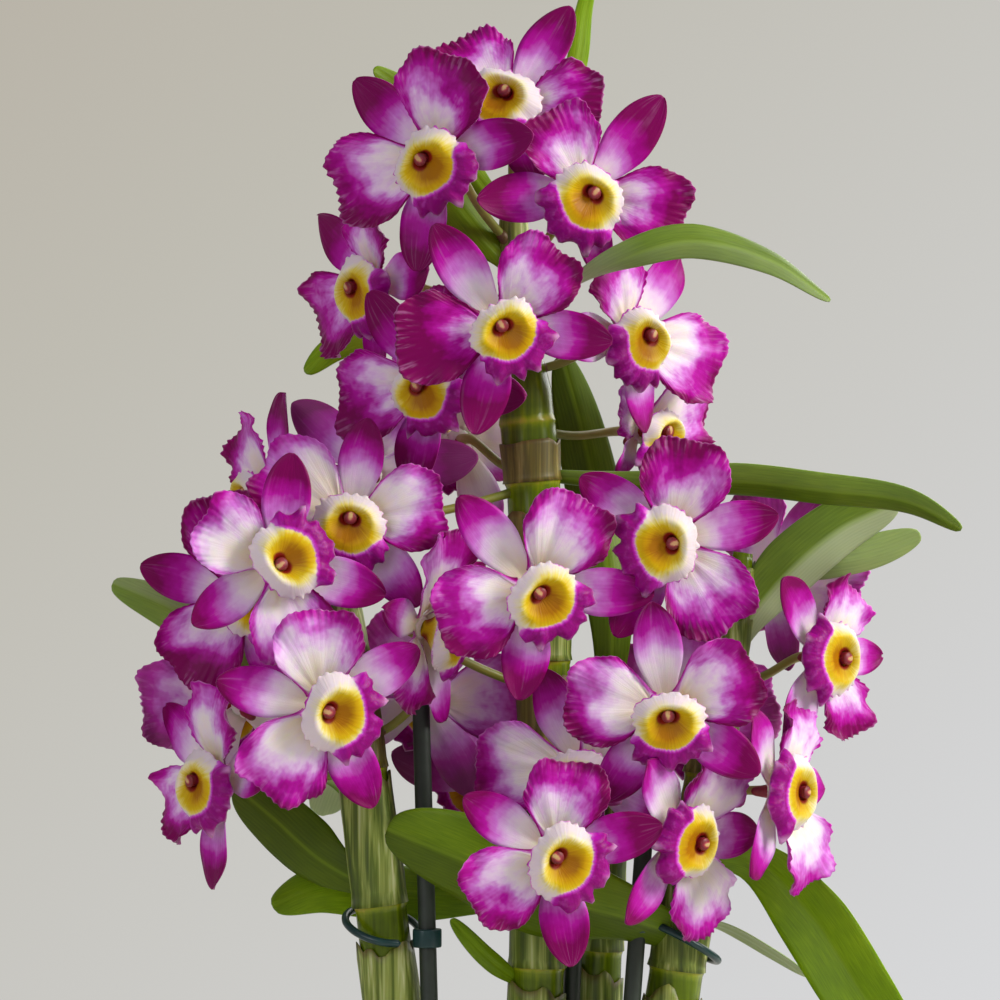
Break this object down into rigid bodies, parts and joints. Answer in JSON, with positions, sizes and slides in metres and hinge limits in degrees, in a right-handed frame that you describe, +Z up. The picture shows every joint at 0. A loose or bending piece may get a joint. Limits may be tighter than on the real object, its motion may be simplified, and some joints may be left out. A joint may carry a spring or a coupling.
{
  "type": "dendrobium orchid in a pot",
  "caption": "Flowering dendrobium orchid: jointed canes with leaves and frilled magenta and white blooms, staked and tied, in a round pot of bark.",
  "frame": {"origin": "centre of the pot's flat underside", "axes": "+Z up along the pot's axis, -Y towards the side with the most open blooms, +X to the right as seen from that side"},
  "size_m": [0.282, 0.1743, 0.5232],
  "materials": {
    "bloom": "soft petal, white in the middle, magenta at the edge, yellow throat",
    "leaf": "smooth leathery leaf, paler below",
    "cane": "smooth green cane in dry papery sheaths",
    "stake": "dark green coated rod",
    "tie": "dark teal moulded clip",
    "pot": "plain pale glaze",
    "bark": "rough bark chips"
  },
  "bodies": {
    "root": {"cane_middle": "cane", "cane_left": "cane", "cane_right": "cane", "cane_behind": "cane", "stake_left": "stake", "stake_right": "stake", "stake_back": "stake", "tie_left": "tie", "tie_right": "tie", "leaf_01_top": "leaf", "leaf_02_top_left": "leaf", "leaf_03_throat": "leaf", "leaf_04_arching": "leaf", "leaf_05_left_tip": "leaf", "leaf_06_upright": "leaf", "leaf_07_long": "leaf", "leaf_08_broad": "leaf", "leaf_09_broad_behind": "leaf", "leaf_10_left_far": "leaf", "leaf_11_left_dark": "leaf", "leaf_12_behind_left": "leaf", "leaf_13_front": "leaf", "leaf_14_low_right": "leaf", "leaf_15_low_thin": "leaf", "leaf_16_low_strap": "leaf", "leaf_17_back": "leaf", "leaf_18_back_low": "leaf", "bloom_01_top": "bloom", "bloom_02_top_left": "bloom", "bloom_03_top_right": "bloom", "bloom_04_upper_front": "bloom", "bloom_05_upper_left": "bloom", "bloom_06_left_of_middle": "bloom", "bloom_07_upper_right": "bloom", "bloom_08_right_of_middle": "bloom", "bloom_09_middle_back": "bloom", "bloom_10_west_front": "bloom", "bloom_11_west_behind": "bloom", "bloom_12_west_low": "bloom", "bloom_13_west_high": "bloom", "bloom_14_west_far": "bloom", "bloom_15_west_centre": "bloom", "bloom_16_west_down": "bloom", "bloom_17_west_side": "bloom", "bloom_18_centre": "bloom", "bloom_19_centre_left": "bloom", "bloom_20_east_high": "bloom", "bloom_21_east_centre": "bloom", "bloom_22_low_behind": "bloom", "bloom_23_low_front": "bloom", "bloom_24_low_back": "bloom", "bloom_25_middle_low": "bloom", "bloom_26_east_low": "bloom", "bloom_27_east_down": "bloom", "bloom_28_east_far": "bloom", "bloom_29_east_back": "bloom", "bloom_30_east_behind": "bloom", "pot": "pot", "bark_medium": "bark"}
  },
  "joints": []
}
